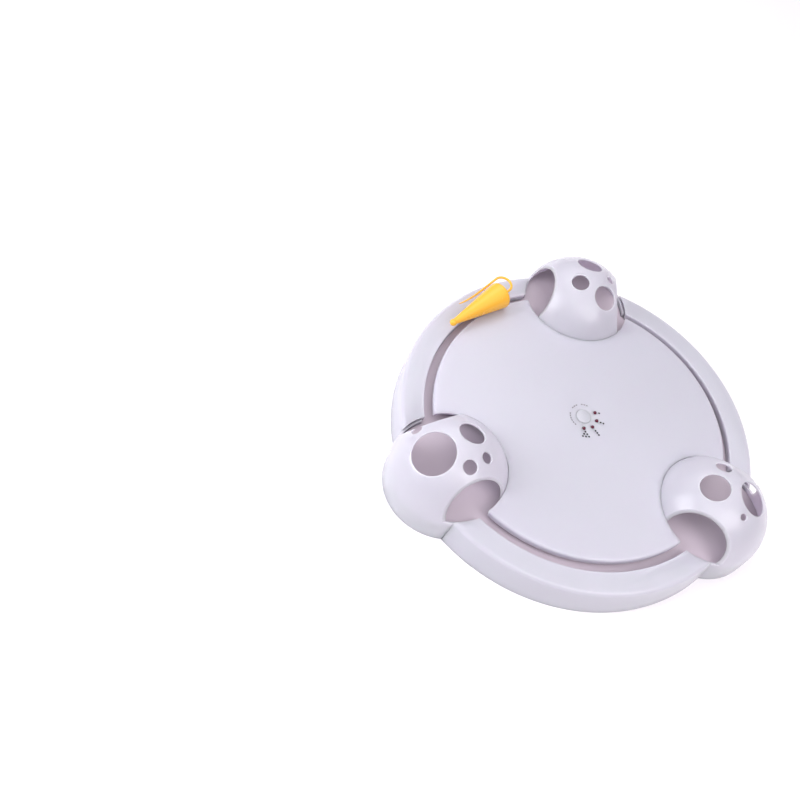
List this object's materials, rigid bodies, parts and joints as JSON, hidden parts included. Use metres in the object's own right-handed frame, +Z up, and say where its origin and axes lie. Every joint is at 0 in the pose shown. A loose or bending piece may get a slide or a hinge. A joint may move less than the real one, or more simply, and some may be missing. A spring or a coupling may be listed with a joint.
{
  "type": "cat toy turntable",
  "caption": "Round white floor toy with a yellow mouse that a hidden motor carries along a ring slot through holed domes, with a push button and lamps in the middle.",
  "frame": {"origin": "on the floor, under the middle of the deck", "axes": "+Z up, +Y from the middle through the back dome, +X to the right of it"},
  "size_m": [0.2752, 0.2873, 0.0583],
  "materials": {
    "white_shell": "satin gloss, faintly lilac white",
    "mouse_yellow": "glossy warm yellow",
    "white_pod": "fine matt white",
    "white_gear": "natural white gear plastic",
    "grey_plastic": "moulded grey",
    "screw_steel": "plated",
    "shaft_steel": "ground",
    "contact_steel": "nickel plated",
    "pinion_brass": "cut brass",
    "cell_case": "dark sleeve",
    "board_green": "solder mask",
    "switch_black": "moulded black",
    "led_red": "clear dark red",
    "lead_red": "wire sleeve",
    "lead_black": "wire sleeve"
  },
  "bodies": {
    "base": {"deck": "white_shell", "ring_front": "white_shell", "ring_right": "white_shell", "ring_left": "white_shell", "dome_back": "white_shell", "dome_left": "white_shell", "dome_right": "white_shell", "pod_base": "white_pod", "pod_cover": "white_pod", "spindle": "grey_plastic", "idler_pin": "shaft_steel", "motor_can": "shaft_steel", "circuit_board": "board_green", "switch_body": "switch_black", "mode_leds": "led_red", "battery_cells": "cell_case", "battery_contacts": "contact_steel", "battery_springs": "contact_steel", "battery_door": "white_pod", "door_screws": "screw_steel", "spindle_screws": "screw_steel", "deck_screws": "screw_steel", "board_screws": "screw_steel", "pod_screws": "screw_steel", "dome_deck_screws": "screw_steel", "dome_ring_screws": "screw_steel", "battery_leads": "lead_red", "motor_leads": "lead_black"},
    "turntable": {"drive_gear": "white_gear", "arm": "grey_plastic", "arm_screws": "screw_steel", "mouse_body": "mouse_yellow", "mouse_tail": "mouse_yellow"},
    "idler": {"idler_gear": "white_gear"},
    "rotor": {"motor_shaft": "shaft_steel", "motor_pinion": "pinion_brass"},
    "button": {"button_cap": "white_shell", "switch_plunger": "grey_plastic"}
  },
  "joints": [
    {"name": "turntable_spin", "type": "hinge", "parent": "base", "child": "turntable", "pos_m": [0, 0, 0], "axis": [0, 0, 1], "continuous": true},
    {"name": "idler_spin", "type": "hinge", "parent": "base", "child": "idler", "pos_m": [0, 0.0272, 0], "axis": [0, 0, 1], "continuous": true},
    {"name": "rotor_spin", "type": "hinge", "parent": "base", "child": "rotor", "pos_m": [0, 0.0452, 0], "axis": [0, 0, 1], "continuous": true},
    {"name": "button_press", "type": "slide", "parent": "base", "child": "button", "axis": [0, 0, -1], "range_m": [0, 0.0006], "stiffness_N_per_m": 1500}
  ],
  "couplings": [
    {"joint": "idler_spin", "follows": "turntable_spin", "ratio": -4.6667},
    {"joint": "rotor_spin", "follows": "turntable_spin", "ratio": 23.333}
  ]
}
